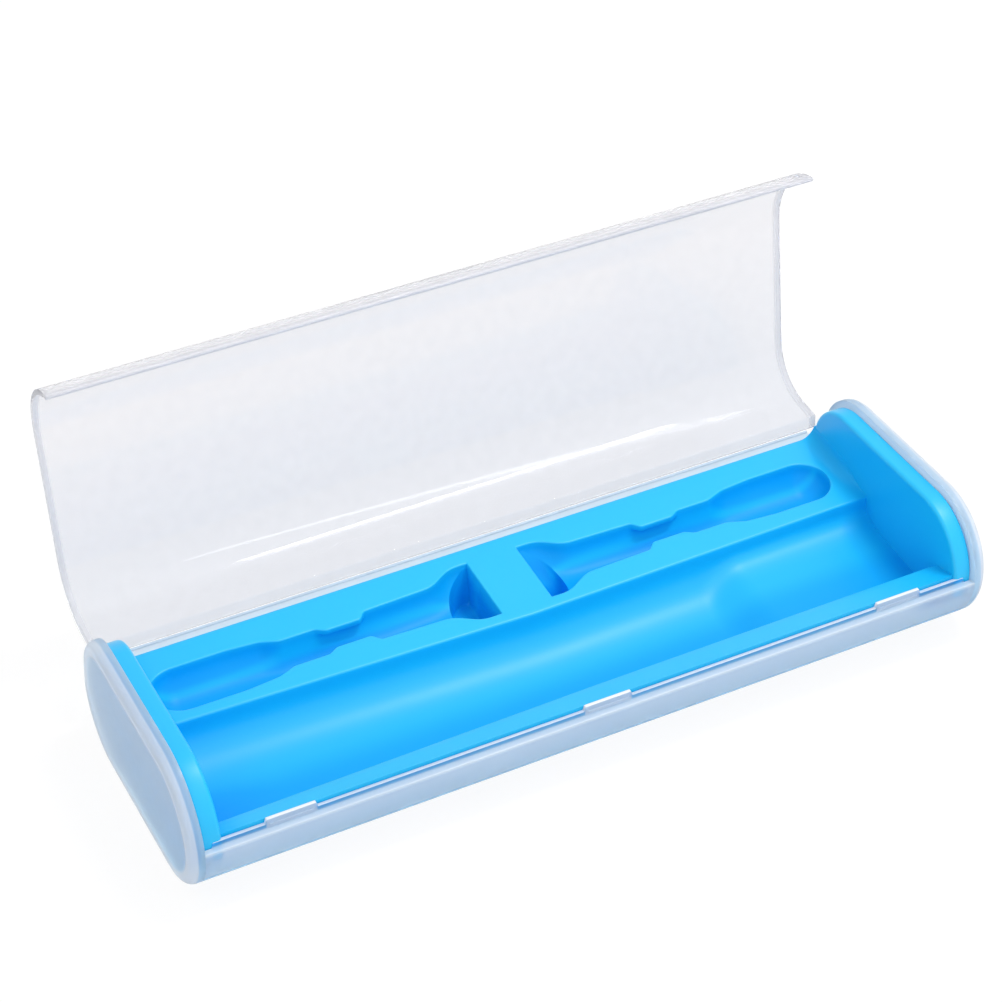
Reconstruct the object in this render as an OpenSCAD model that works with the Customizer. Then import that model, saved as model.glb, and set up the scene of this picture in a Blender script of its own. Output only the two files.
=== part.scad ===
// Travel case for an electric toothbrush: a frosted base shell with two full-height
// end caps, a clear lid that folds back on a film hinge, and a moulded insert tray.
// X runs along the case, Y to the hinge side and Z up. The origin is the centre of
// the flat underside. The lid is drawn open, as far as lid_open turns it.

/* [Case] */
// Length over the two end caps
case_len = 224.4; // [205:0.2:260]
// Height of the closed case
case_h = 39; // [36:0.5:44]
// Width of the flat underside, from the nose round to the back round
underside_d = 39.3; // [36:0.1:50]
// Radius of the lower round at the back
back_low_r = 16.4; // [14:0.1:17.5]
// Radius of the upper round at the back
back_up_r = 16.3; // [14:0.1:17.5]
// How far the upper round stands in front of the lower one
back_setback = 1.3; // [0.6:0.1:3]
// Height of the plane where the lid meets the base
split_z = 19.6; // [18.5:0.1:21]

/* [Base shell] */
// Wall of the base shell
shell_t = 1.6; // [1.2:0.1:2]
// Thickness of an end cap at its rim
cap_t = 3.85; // [3.4:0.05:5]
// Wall of an end cap inside its rim
cap_wall = 2; // [1.4:0.1:2.6]
// Width of the cap's rim, measured in from its outline
cap_rim_w = 3.6; // [3:0.1:6]
// Radius of the softened outer edge of a cap
cap_edge_r = 2.5; // [1.6:0.1:3]
// Distance from the lip's end to the end cap
lip_end_gap = 2.4; // [1.5:0.05:5]
// Thickness of the upright lip along the front
lip_t = 1; // [0.8:0.1:1.4]
// Height of the lip above the ledge
lip_h = 1.4; // [1:0.05:2.5]
// How far the ledge's underside runs down the front wall
ledge_depth = 4.6; // [3:0.1:7]

/* [Latch] */
// Distance between neighbouring latch tabs
tab_pitch = 85.5; // [60:0.5:92]
// Width of a latch tab
tab_w = 13.2; // [8:0.1:18]
// Height of a latch tab above the lip
tab_rise = 1.4; // [0.8:0.1:2]
// How far a tab's snap bead stands out of the lip
snap_out = 0.2; // [0.1:0.05:0.3]
// Height of the snap bead
snap_h = 0.7; // [0.4:0.1:1]
// Height of the snap bead's underside above the ledge
snap_up = 0.6; // [0.3:0.1:1]
// Bare tab left and right of the snap bead
snap_border = 0.9; // [0.5:0.1:1.4]

/* [Lid] */
// Wall of the lid
lid_t = 1.6; // [1.2:0.1:2]
// Depth of the rebate inside the lid's front edge, where the lip goes
lap_t = 0.3; // [0.1:0.05:0.6]
// Height of the rebate
lap_h = 3.2; // [2.6:0.1:5]
// Angle by which the lid is drawn open
lid_open = 97; // [0:1:180]

/* [Hinge] */
// How far the hinge line lies behind the lower back round
hinge_out = 2.5; // [2.2:0.05:4.5]
// Thickness of the hinge flange on the base and on the lid
flange_t = 1.4; // [1:0.1:2]
// Radius of the film hinge's bead
film_r = 0.4; // [0.25:0.05:0.6]
// Between the film hinge's bead and the lid's flange
film_clear = 0.1; // [0.05:0.05:0.2]
// Distance from the hinge's end to the end cap
hinge_end_gap = 3.4; // [2:0.1:8]

/* [Insert tray] */
// Wall of the insert tray
tray_t = 1.4; // [1:0.1:1.8]
// Width of the rim on each end flange
rim_w = 4.9; // [3.5:0.1:7]
// Height of the deck at its back edge
deck_z = 22.4; // [21:0.1:24]
// Fall of the deck towards the front, in degrees
deck_fall = 5; // [0:0.5:6]
// Height of the front shelf at the trough
shelf_z = 20.3; // [19:0.1:21.5]
// Rise of the front shelf towards the lip, in degrees
shelf_rise = 11; // [4:0.5:14]
// Radius of the fillet between the deck and a flange
deck_fillet_r = 4; // [2:0.5:6]

/* [Handle trough] */
// Front edge of the trough at its wide end, behind the lip
trough_front_wide = 5.2; // [4:0.1:8]
// Front edge of the trough at the middle, behind the lip
trough_front_mid = 7.2; // [5:0.1:10]
// Front edge of the trough at its slim end, behind the lip
trough_front_slim = 7.7; // [5:0.1:10]
// Width of the trough at its wide end
trough_w_wide = 37.9; // [34:0.1:39]
// Width of the trough at the middle
trough_w_mid = 32.4; // [28:0.1:34]
// Width of the trough at its slim end
trough_w_slim = 33.6; // [28:0.1:35]
// Depth of the trough below the shelf at its wide end
trough_depth_wide = 12.5; // [10:0.1:14]
// Depth of the trough below the shelf at its slim end
trough_depth_slim = 8.5; // [7:0.1:10]
// Rise of the trough's floor towards the hinge, in degrees
trough_tip = 5; // [0:0.5:7]
// Place along X where the trough turns from round to square-bottomed
trough_step_x = 55; // [40:1:80]

/* [Head pockets] */
// Distance from the middle of the case to a pocket's flat end
pocket_x = 7.4; // [5:0.1:12]
// Distance of the pockets' centre line in front of the deck's back edge
pocket_back = 15.9; // [14:0.1:18]
// Width of the flared end
flare_w = 20.6; // [16:0.1:23]
// Width of the first neck
neck_w = 11; // [8:0.1:13]
// Width of the finger notch's waist
waist_w = 6.5; // [4.6:0.1:8]
// Width of the second neck
collar_w = 9.6; // [8:0.1:12]
// Width of the round-ended part
barrel_w = 15; // [13:0.1:17]
// Length of a pocket
pocket_len = 90.6; // [80:0.1:93]
// Depth of a pocket along its centre line
pocket_depth = 7.2; // [6:0.1:8.5]
// How much the radius of a pocket's rounded floor exceeds that of its end
pocket_ease = 0.6; // [0.3:0.1:2]
// Depth of the well at a pocket's flared end
well_depth = 12.6; // [9:0.1:13.5]
// Length of that well
well_len = 9; // [6:0.1:11]

/* [Clearances] */
// Between the lid's ends and the end caps
end_clear = 0.25; // [0.15:0.05:0.5]
// Between the tray and whatever lies round it
seat_clear = 0.25; // [0.2:0.05:0.35]
// Between the lid's front edge and the ledge, and between the hinge flanges
split_clear = 0.3; // [0.2:0.05:0.5]
// Between the rebate inside the lid's front edge and the snap beads
snap_clear = 0.25; // [0.15:0.05:0.4]

/* [Hidden] */
eps = 0.01;
// How far a tray wall runs into the end flange that it joins
bite = 0.5;
big = 400;

// Outline of the case across X: three rounds joined by straight runs
nose_r = case_h / 2;
nose = [-underside_d / 2, nose_r];
back_low = [underside_d / 2, back_low_r];
back_up = [underside_d / 2 - back_setback, case_h - back_up_r];
front_y = nose[0] - nose_r;
back_step = back_up - back_low;
back_angle = atan2(back_step[1], back_step[0]) - 90
    - asin((back_up_r - back_low_r) / norm(back_step));

// Stations along X
cap_x = case_len / 2 - cap_t;
lid_x = cap_x - end_clear;
tray_x = cap_x - end_clear;
rim_x = tray_x - rim_w;
lip_x = cap_x - lip_end_gap;
hinge_x = cap_x - hinge_end_gap;

// Heights and depths near the split
ledge_z = split_z - split_clear / 2;
lid_edge_z = split_z + split_clear / 2;
lip_z = ledge_z + lip_h;
tab_z = lip_z + tab_rise;
lip_front = front_y + lid_t - lap_t + snap_clear + snap_out;
lip_back = lip_front + lip_t;
tray_inset = max(shell_t, lid_t) + seat_clear;
hinge_y = underside_d / 2 + back_low_r + hinge_out;
hinge = [hinge_y, split_z];

// Tray
deck_y = back_face(deck_z, tray_inset);
shelf_front = lip_back + seat_clear;
function deck_top(y) = deck_z - (deck_y - y) * tan(deck_fall);
function shelf_top(y) = shelf_z + (lip_back + trough_front_mid - y) * tan(shelf_rise);
pocket_y = deck_y - pocket_back;
pocket_floor = deck_top(pocket_y) - pocket_depth;
pocket_floor_r = barrel_w / 2 + pocket_ease;
well_floor = deck_top(pocket_y) - well_depth;

// Y of the leaning back face at height z, a distance inset inside the outline
function back_face(z, inset) =
    let (n = [cos(back_angle), sin(back_angle)], c = back_low + (back_low_r - inset) * n)
    c[0] - (z - c[1]) * tan(back_angle);

// Anything drawn in the Y-Z plane, made solid between two places along X
module along_x(from, to) {
    translate([from, 0, 0]) rotate([90, 0, 90]) linear_extrude(to - from) children();
}

module mirrored() {
    children();
    mirror([1, 0, 0]) children();
}

// The outline, drawn in by inset: the three rounds and the straight-sided core between
module section(inset) {
    n = nose_r - inset;
    low = back_low_r - inset;
    up = back_up_r - inset;
    lean = [cos(back_angle), sin(back_angle)];
    translate(nose) circle(n, $fn = 96);
    translate(back_low) circle(low, $fn = 96);
    translate(back_up) circle(up, $fn = 96);
    polygon([nose + [0, n], nose - [0, n], back_low - [0, low],
        back_low + low * lean, back_up + up * lean, back_up + [0, up]]);
}

module bar(inset, from, to) {
    along_x(from, to) section(inset);
}

// A box given by its two corners
module block(low, high) {
    translate(low) cube(high - low);
}

// ---- Base shell ----

function arc(centre, r, from, to, steps) =
    [for (i = [0:steps]) let (a = from + (to - from) * i / steps)
        centre + r * [cos(a), sin(a)]];

// The same outline with its rounds as short straight runs, for the cap's softened edge
module facet_section(inset) {
    polygon(concat(
        arc(nose, nose_r - inset, 90, 270, 18),
        arc(back_low, back_low_r - inset, -90, back_angle, 9),
        arc(back_up, back_up_r - inset, back_angle, 90, 9)));
}

// The softened outer edge of an end cap, a quarter round in short steps. It starts a
// hair inside the exact outline, so that no two surfaces nearly coincide
module cap_edge() {
    steps = 4;
    hair = 0.05;
    from = case_len / 2 - cap_edge_r;
    hull() for (i = [0:steps]) let (a = 90 * i / steps)
        along_x(from - eps, from + eps + (cap_edge_r - eps) * sin(a))
            facet_section(hair + (cap_edge_r - hair) * (1 - cos(a)));
}

module cap() {
    difference() {
        union() {
            bar(0, cap_x, case_len / 2 - cap_edge_r);
            cap_edge();
        }
        bar(cap_rim_w, cap_x - 1, case_len / 2 - cap_wall);
    }
}

// The trough between the caps, cut off at the split
module shell_wall() {
    difference() {
        bar(0, -cap_x, cap_x);
        bar(shell_t, -big, big);
        block([-big, -big, ledge_z], [big, big, big]);
    }
}

// Thickened top of the front wall, with the ledge that the lid meets and the lip
module lip() {
    intersection() {
        bar(0, -lip_x, lip_x);
        block([-lip_x, front_y, ledge_z - ledge_depth], [lip_x, lip_back, ledge_z]);
    }
    block([-lip_x, lip_front, ledge_z - eps], [lip_x, lip_back, lip_z]);
}

module latch_tab() {
    block([-tab_w / 2, lip_front, ledge_z - eps], [tab_w / 2, lip_back, tab_z]);
    block([snap_border - tab_w / 2, lip_front - snap_out, ledge_z + snap_up],
        [tab_w / 2 - snap_border, lip_front + eps, ledge_z + snap_up + snap_h]);
}

// Flange behind the back wall, with the film hinge as a bead along its edge
module base_flange() {
    block([-hinge_x, back_face(ledge_z - flange_t, shell_t), ledge_z - flange_t],
        [hinge_x, hinge[0], ledge_z]);
    translate([-hinge_x, hinge[0], hinge[1]]) rotate([0, 90, 0])
        cylinder(r = film_r, h = 2 * hinge_x, $fn = 32);
}

module base_shell() {
    color("lightsteelblue") {
        mirrored() cap();
        shell_wall();
        lip();
        for (i = [-1:1]) translate([i * tab_pitch, 0, 0]) latch_tab();
        base_flange();
    }
}

// ---- Lid, drawn closed and then turned open ----

module lid_closed() {
    difference() {
        bar(0, -lid_x, lid_x);
        bar(lid_t, -big, big);
        block([-big, -big, -1], [big, big, lid_edge_z]);
        intersection() {
            bar(lid_t - lap_t, -big, big);
            block([-big, front_y, 0], [big, 0, lid_edge_z + lap_h]);
        }
    }
    difference() {
        block([-hinge_x, back_face(lid_edge_z, lid_t), lid_edge_z],
            [hinge_x, hinge[0], lid_edge_z + flange_t]);
        translate([-case_len, hinge[0], hinge[1]]) rotate([0, 90, 0])
            cylinder(r = film_r + film_clear, h = 2 * case_len, $fn = 32);
    }
}

module lid() {
    color("whitesmoke") translate([0, hinge[0], hinge[1]]) rotate([-lid_open, 0, 0])
        translate([0, -hinge[0], -hinge[1]]) lid_closed();
}

// ---- Insert tray ----

// Where the trough's front edge runs and how wide it is, given at three stations
function station(x, wide, mid, slim) =
    x < 0 ? mid + (wide - mid) * -x / rim_x : mid + (slim - mid) * x / rim_x;
function trough_front(x) = lip_back
    + station(x, trough_front_wide, trough_front_mid, trough_front_slim);
function trough_back(x) = trough_front(x)
    + station(x, trough_w_wide, trough_w_mid, trough_w_slim);

module trough_outline(grow) {
    x = [-rim_x - bite, 0, rim_x + bite];
    polygon(concat([for (i = [0:2]) [x[i], trough_front(x[i]) - grow]],
        [for (i = [2:-1:0]) [x[i], trough_back(x[i]) + grow]]));
}

// Cross-section front to back: a lower half superellipse, tipped up towards the hinge.
// power says how square it is, and x is the station whose width it takes
module trough_section(x, deep, power, grow) {
    half = (trough_back(x) - trough_front(x)) / 2 + grow;
    mid = (trough_back(x) + trough_front(x)) / 2;
    n = 20;
    polygon(concat(
        [for (i = [0:n]) let (c = -cos(180 * i / n), s = sin(180 * i / n),
                y = half * sign(c) * pow(abs(c), 2 / power))
            [mid + y, shelf_z - (deep + grow) * pow(s, 2 / power)
                + y * tan(trough_tip) * s]],
        [[mid + half, case_h], [mid - half, case_h]]));
}

module trough(grow, reach, top) {
    intersection() {
        linear_extrude(top) trough_outline(grow);
        union() {
            along_x(-reach, trough_step_x + grow)
                trough_section(-rim_x, trough_depth_wide, 3, grow);
            along_x(trough_step_x - grow - 1, reach)
                trough_section(rim_x, trough_depth_slim, 4, grow);
        }
    }
}

// A pocket seen from above, its centre line along X and its flat end at pocket_x.
// Each row: place from the flat end, and half of the width there
function pocket_plan() = let (end = pocket_len - barrel_w / 2)
    [[0, flare_w / 2], [5.4, flare_w / 2], [12.2, neck_w / 2 + 0.6],
    [32, neck_w / 2], [34, waist_w / 2], [43.6, waist_w / 2], [46.2, collar_w / 2],
    [56, collar_w / 2], [61, barrel_w / 2 - 0.8], [70, barrel_w / 2], [end, barrel_w / 2]];

module pocket_outline(grow) {
    plan = pocket_plan();
    end = pocket_len - barrel_w / 2;
    offset(delta = grow) union() {
        polygon(concat(
            [for (p = plan) [pocket_x + p[0], pocket_y - p[1]]],
            [for (i = [len(plan) - 1:-1:0]) [pocket_x + plan[i][0], pocket_y + plan[i][1]]]));
        translate([pocket_x + end, pocket_y]) circle(d = barrel_w, $fn = 40);
    }
}

// One pocket with a rounded floor and a flat-floored well, made bigger all round by grow.
// The round of the floor's far end starts a little late, so that it crosses the outline
module pocket(grow, top) {
    r = pocket_floor_r + grow;
    end = pocket_x + pocket_len - pocket_floor_r + pocket_ease / 2;
    axis_z = pocket_floor + pocket_floor_r;
    intersection() {
        linear_extrude(top) pocket_outline(grow);
        union() {
            translate([0, pocket_y, axis_z]) rotate([0, 90, 0])
                cylinder(r = r, h = end, $fn = 64);
            translate([end, pocket_y, axis_z]) sphere(r = r, $fn = 64);
            block([0, 0, axis_z], [cap_x, deck_y, case_h]);
            block([0, 0, well_floor - grow], [pocket_x + well_len + grow, deck_y, case_h]);
        }
    }
}

// Deck and front shelf, as one bent plate with the trough still closed
module deck_plate() {
    mid_y = trough_front(0);
    far_y = mid_y + trough_w_wide;
    intersection() {
        bar(tray_inset, -rim_x - bite, rim_x + bite);
        along_x(-big, big) {
            polygon([[shelf_front, shelf_top(shelf_front)],
                [mid_y, shelf_top(mid_y)], [mid_y, deck_top(mid_y) - tray_t],
                [shelf_front, shelf_top(shelf_front) - tray_t]]);
            polygon([[mid_y, deck_top(mid_y)], [big, deck_top(big)],
                [big, deck_top(big) - tray_t], [mid_y, deck_top(mid_y) - tray_t]]);
        }
    }
}

// Skirt that hangs from the deck's back edge inside the back wall
module back_skirt() {
    intersection() {
        difference() {
            bar(tray_inset, -rim_x - bite / 2, rim_x + bite / 2);
            bar(tray_inset + tray_t, -big, big);
        }
        block([-cap_x, 0, back_low[1]], [cap_x, big, deck_z]);
    }
}

// Concave fillet between the deck and one flange
module deck_fillet() {
    intersection() {
        bar(tray_inset, rim_x - deck_fillet_r, rim_x + 1.5 * bite);
        translate([rim_x - deck_fillet_r, deck_y, deck_z]) rotate([deck_fall, 0, 0])
            difference() {
                block([0, -big, -tray_t / 2], [deck_fillet_r + tray_t, big, deck_fillet_r]);
                translate([0, big + 1, deck_fillet_r]) rotate([90, 0, 0])
                    cylinder(r = deck_fillet_r + 0.05, h = 2 * big + 2, $fn = 64);
            }
        block([0, lip_back + trough_front_slim + trough_w_slim / 2, 0], [cap_x, big, big]);
    }
}

// One end flange: a face towards the trough and a rim that the lid's end rests over
module end_flange() {
    difference() {
        bar(tray_inset, rim_x, tray_x);
        bar(tray_inset + tray_t, rim_x + tray_t, tray_x + 1);
        block([0, -big, ledge_z - ledge_depth - seat_clear],
            [lip_x + seat_clear, shelf_front, lip_z + seat_clear]);
    }
}

module insert_tray() {
    color("deepskyblue") difference() {
        union() {
            deck_plate();
            back_skirt();
            mirrored() {
                end_flange();
                deck_fillet();
                pocket(tray_t, deck_top(pocket_y) - tray_t / 2);
            }
            trough(tray_t, rim_x + bite / 3, shelf_z - tray_t / 2);
        }
        trough(0, rim_x, case_h);
        mirrored() pocket(0, case_h);
    }
}

base_shell();
insert_tray();
lid();
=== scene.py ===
"""Looks of an open toothbrush travel case: frosted base, blue insert tray, clear lid.

Sizes are in millimetres in the CAD's own frame: X along the case, Y to the hinge, Z up,
with the origin at the centre of the flat underside. Meshes are written in metres.
"""

from __future__ import annotations

import logging
import math
from dataclasses import dataclass, field
from enum import Enum
from typing import Any, Mapping, Sequence

import bpy
import numpy as np
from mathutils import Matrix
from numpy.typing import NDArray

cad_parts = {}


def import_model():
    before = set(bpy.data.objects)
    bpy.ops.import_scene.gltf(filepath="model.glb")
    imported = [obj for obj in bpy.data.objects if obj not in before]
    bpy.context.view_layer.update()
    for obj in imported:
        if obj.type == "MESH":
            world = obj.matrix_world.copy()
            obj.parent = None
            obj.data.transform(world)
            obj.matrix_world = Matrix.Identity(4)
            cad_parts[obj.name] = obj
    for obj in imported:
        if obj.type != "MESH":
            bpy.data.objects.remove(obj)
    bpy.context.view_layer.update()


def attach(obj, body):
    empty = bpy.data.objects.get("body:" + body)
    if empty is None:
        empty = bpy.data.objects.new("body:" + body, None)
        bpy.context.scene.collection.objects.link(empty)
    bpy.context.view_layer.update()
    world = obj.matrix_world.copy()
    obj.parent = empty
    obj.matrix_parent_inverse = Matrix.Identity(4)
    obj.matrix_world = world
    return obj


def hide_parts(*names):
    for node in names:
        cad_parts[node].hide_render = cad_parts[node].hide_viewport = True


MM = 0.001
PHOTO_SIDE = 1002
SENSOR_WIDTH = 36.0
SHARP_ANGLE = 50.0
RING_STEPS = 64
# How far the middle of a coarse round lies from both its sides, as a share of its radius
MID_ROUND = 0.3
# How far before a round the flat beside it has one more point, as a share of its radius
PAST_ROUND = 1.2
log = logging.getLogger("travel_case")

Array = NDArray[np.float64]
Number = Array | float
Pair = tuple[Array, Array]
Colour = tuple[float, float, float, float]


# ---------------------------------------------------------------- curves and grids


def ramp(x: Number, low: Number, high: Number) -> Array:
    """Rises smoothly from 0 at low to 1 at high: s * s * (3 - 2 * s) of the clipped share s."""
    s = np.clip((np.asarray(x, float) - low) / (high - low), 0.0, 1.0)
    return s * s * (3.0 - 2.0 * s)


def fall(x: Number, low: Number, high: Number) -> Array:
    """Falls smoothly from 1 at low to 0 at high."""
    return 1.0 - ramp(x, low, high)


def within(x: Array, low: float, high: float, soft: float) -> Array:
    """Is 1 between low and high and 0 outside, with both steps spread over soft."""
    return ramp(x, low - soft / 2, low + soft / 2) * fall(x, high - soft / 2, high + soft / 2)


def mixed(ends: tuple[float, float], share: Array) -> Array:
    """The first of two values where share is 0 and the second where share is 1."""
    return ends[0] + (ends[1] - ends[0]) * share


def quarter(radius: Number, steps: int) -> Pair:
    """A quarter circle as distances from its two sides.

    At even angles a from 0 to 90 degrees the first is radius * (1 - sin a), which ends at
    0, and the second is radius * (1 - cos a), which starts at 0.

    Args:
        radius: the radius, or a column of radii.
        steps: number of chords.

    Returns:
        Both distances, steps + 1 of each.
    """
    a = np.radians(np.linspace(0.0, 90.0, steps + 1))
    return radius * (1 - np.sin(a)), radius * (1 - np.cos(a))


def round_rise(along: Array, radius: float) -> Array:
    """Rise of a quarter circle at d along it: radius - sqrt(radius^2 - d^2), d held inside it."""
    d = np.clip(along, 0.0, radius)
    return radius - np.sqrt(np.clip(radius**2 - d**2, 0.0, None))


def arc(centre: Sequence[float], radius: float, start: float, stop: float, steps: int) -> Array:
    """Points of a circular arc: centre plus radius times cosine and sine of even angles.

    Args:
        centre: the arc's centre.
        radius: its radius.
        start: first angle in degrees.
        stop: last angle in degrees.
        steps: number of chords.

    Returns:
        Array of steps + 1 points.
    """
    a = np.radians(np.linspace(start, stop, steps + 1))
    return np.asarray(centre, float) + radius * np.stack([np.cos(a), np.sin(a)], -1)


def refine(stations: Array, longest: float) -> Array:
    """Adds even stations so that no gap is longer than longest.

    Args:
        stations: sorted places.
        longest: the longest gap allowed.

    Returns:
        All the old places and the new ones, sorted.
    """
    gaps = np.diff(stations)
    counts = np.maximum(1, np.ceil(gaps / longest)).astype(int)
    owner = np.repeat(np.arange(len(gaps)), counts)
    step = np.arange(counts.sum()) - np.repeat(np.cumsum(counts) - counts, counts)
    return np.append(stations[owner] + gaps[owner] * step / counts[owner], stations[-1])


def inward(loops: Array) -> Array:
    """Unit normals that point into closed counter-clockwise loops, at each point.

    Args:
        loops: (..., n, 2) points.

    Returns:
        Normals of the same shape: the chord between a point's neighbours turned left.
    """
    chord = np.roll(loops, -1, -2) - np.roll(loops, 1, -2)
    turned = np.stack([-chord[..., 1], chord[..., 0]], -1)
    return turned / np.maximum(np.linalg.norm(turned, axis=-1, keepdims=True), 1e-9)


def area(loop: Array) -> float:
    """Signed area of a closed loop, positive when it runs counter-clockwise."""
    nxt = np.roll(loop, -1, 0)
    return float(0.5 * np.sum(loop[:, 0] * nxt[:, 1] - nxt[:, 0] * loop[:, 1]))


def set_along(loops: Array, stations: Array) -> Array:
    """Puts the stations' X in front of the Y and Z of their loops: (stations, n, 3) points."""
    x = np.broadcast_to(stations[:, None, None], loops.shape[:2] + (1,))
    return np.concatenate([x, loops], -1)


def put(name: str, data: Any) -> bpy.types.Object:
    """Makes an object and links it to the scene.

    Args:
        name: the object's name.
        data: its mesh, camera or lamp.

    Returns:
        The new object.
    """
    made = bpy.data.objects.new(name, data)
    bpy.context.scene.collection.objects.link(made)
    return made


def stand(made: bpy.types.Object, *columns: Sequence[float]) -> None:
    """Turns and moves an object: its axes and its place are the columns of its matrix.

    Args:
        made: the object.
        columns: its X, Y and Z axes, and its place in metres.
    """
    axes = np.eye(4)
    axes[:3] = np.stack(columns, 1)
    made.matrix_world = Matrix(axes.tolist())


@dataclass
class Surface:
    """Points in millimetres, faces, and values at each point that a finish reads by name."""

    points: Array
    faces: list[list[int]]
    marks: dict[str, Array] = field(default_factory=dict)

    def mirrored(self) -> "Surface":
        """The surface reflected in the plane X = 0, its faces still outwards."""
        flipped = self.points * np.array([-1.0, 1.0, 1.0])
        return Surface(flipped, [f[::-1] for f in self.faces], self.marks)

    def turned(self, angle: float, hinge: tuple[float, float]) -> "Surface":
        """The surface turned about an axis along X, its Y and Z through the sine and cosine.

        Args:
            angle: angle in degrees.
            hinge: Y and Z of the axis.

        Returns:
            The turned surface.
        """
        c, s = math.cos(math.radians(angle)), math.sin(math.radians(angle))
        y, z = self.points[:, 1] - hinge[0], self.points[:, 2] - hinge[1]
        moved = np.stack([self.points[:, 0], hinge[0] + c * y - s * z, hinge[1] + s * y + c * z], -1)
        return Surface(moved, self.faces, self.marks)

    def build(self, name: str) -> bpy.types.Object:
        """Makes the surface a mesh object at the origin, shaded smooth.

        Args:
            name: name of the object and of its mesh.

        Returns:
            The new object, linked to the scene.
        """
        mesh = bpy.data.meshes.new(name)
        mesh.from_pydata((self.points * MM).tolist(), [], self.faces)
        for mark, values in self.marks.items():
            written = mesh.attributes.new(mark, "FLOAT", "POINT")
            written.data.foreach_set("value", values.ravel().astype(np.float32))
        mesh.validate()
        mesh.update()
        mesh.shade_smooth()
        mesh.set_sharp_from_angle(angle=math.radians(SHARP_ANGLE))
        return put(name, mesh)


def net(points: Array, wrap: bool = False, ends: bool = False) -> Surface:
    """A grid of points as quads, row by row.

    Args:
        points: (rows, columns, 3) places.
        wrap: whether the last column joins the first.
        ends: whether the first and last rows are closed with a face each.

    Returns:
        The surface; its faces point outwards for rows that run counter-clockwise seen
        from the side that the row number grows towards.
    """
    rows, cols = points.shape[:2]
    r = np.arange(rows - 1)[:, None]
    c = np.arange(cols if wrap else cols - 1)[None, :]
    d = (c + 1) % cols
    quads = np.stack([r * cols + c, r * cols + d, (r + 1) * cols + d, (r + 1) * cols + c], -1)
    faces = quads.reshape(-1, 4).tolist()
    if ends:
        faces.append(list(range(cols))[::-1])
        faces.append(list(range((rows - 1) * cols, rows * cols)))
    return Surface(points.reshape(-1, 3).astype(float), faces)


def sweep(loops: Array, stations: Array, insets: Array) -> Surface:
    """A closed Y-Z loop carried along X, drawn in by a different distance at each station.

    Args:
        loops: (n, 2) loop, or (stations, n, 2) with one loop for each station.
        stations: places along X, rising.
        insets: distance by which the loop is drawn in at each station.

    Returns:
        A closed surface.
    """
    many = np.broadcast_to(loops, (len(stations),) + loops.shape[-2:]).copy()
    if area(many[len(many) // 2]) < 0:
        many = many[:, ::-1]
    many = many + inward(many) * insets[:, None, None]
    return net(set_along(many, stations), wrap=True, ends=True)


def ribbon(outer: Array, inner: Array, stations: Array, insets: Array) -> Surface:
    """A thin strip across X, given as two sides of equal length, carried along X.

    Both sides move towards each other by the inset d: p' = p + (q - p) / |q - p| * d, at
    most 0.45 of their distance apart. The ends are closed by quads from side to side.

    Args:
        outer: (n, 2) points of the right-hand side, seen along the strip from -X.
        inner: (n, 2) points of the other side, each across from its partner.
        stations: places along X, rising.
        insets: distance by which both sides draw in at each station.

    Returns:
        A closed surface.
    """
    across = inner - outer
    apart = np.linalg.norm(across, axis=1, keepdims=True)
    d = np.minimum(insets[:, None, None], 0.45 * apart[None]) / apart[None]
    loops = np.concatenate([outer + across * d, (inner - across * d)[:, ::-1]], 1)
    if area(loops[len(loops) // 2]) < 0:
        loops = loops[:, ::-1]
    body = net(set_along(loops, stations), wrap=True)
    n, last = loops.shape[1], (len(stations) - 1) * loops.shape[1]
    i = np.arange(n // 2 - 1)
    start = np.stack([i, n - 1 - i, n - 2 - i, i + 1], -1)
    stop = last + np.stack([i, i + 1, n - 2 - i, n - 1 - i], -1)
    return Surface(body.points, body.faces + start.tolist() + stop.tolist())


def rounded_ends(low: float, high: float, radius: float, steps: int = 4) -> Pair:
    """Stations and insets that round both ends of a swept solid with a quarter circle.

    Args:
        low: first place along X.
        high: last place along X.
        radius: radius of the rounded end edges.
        steps: chords in each quarter circle.

    Returns:
        Stations, and the inset at each.
    """
    out, back = quarter(radius, steps)
    return np.concatenate([(low + out)[::-1], high - out]), np.concatenate([back[::-1], back])


# ---------------------------------------------------------------- the case's section


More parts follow.
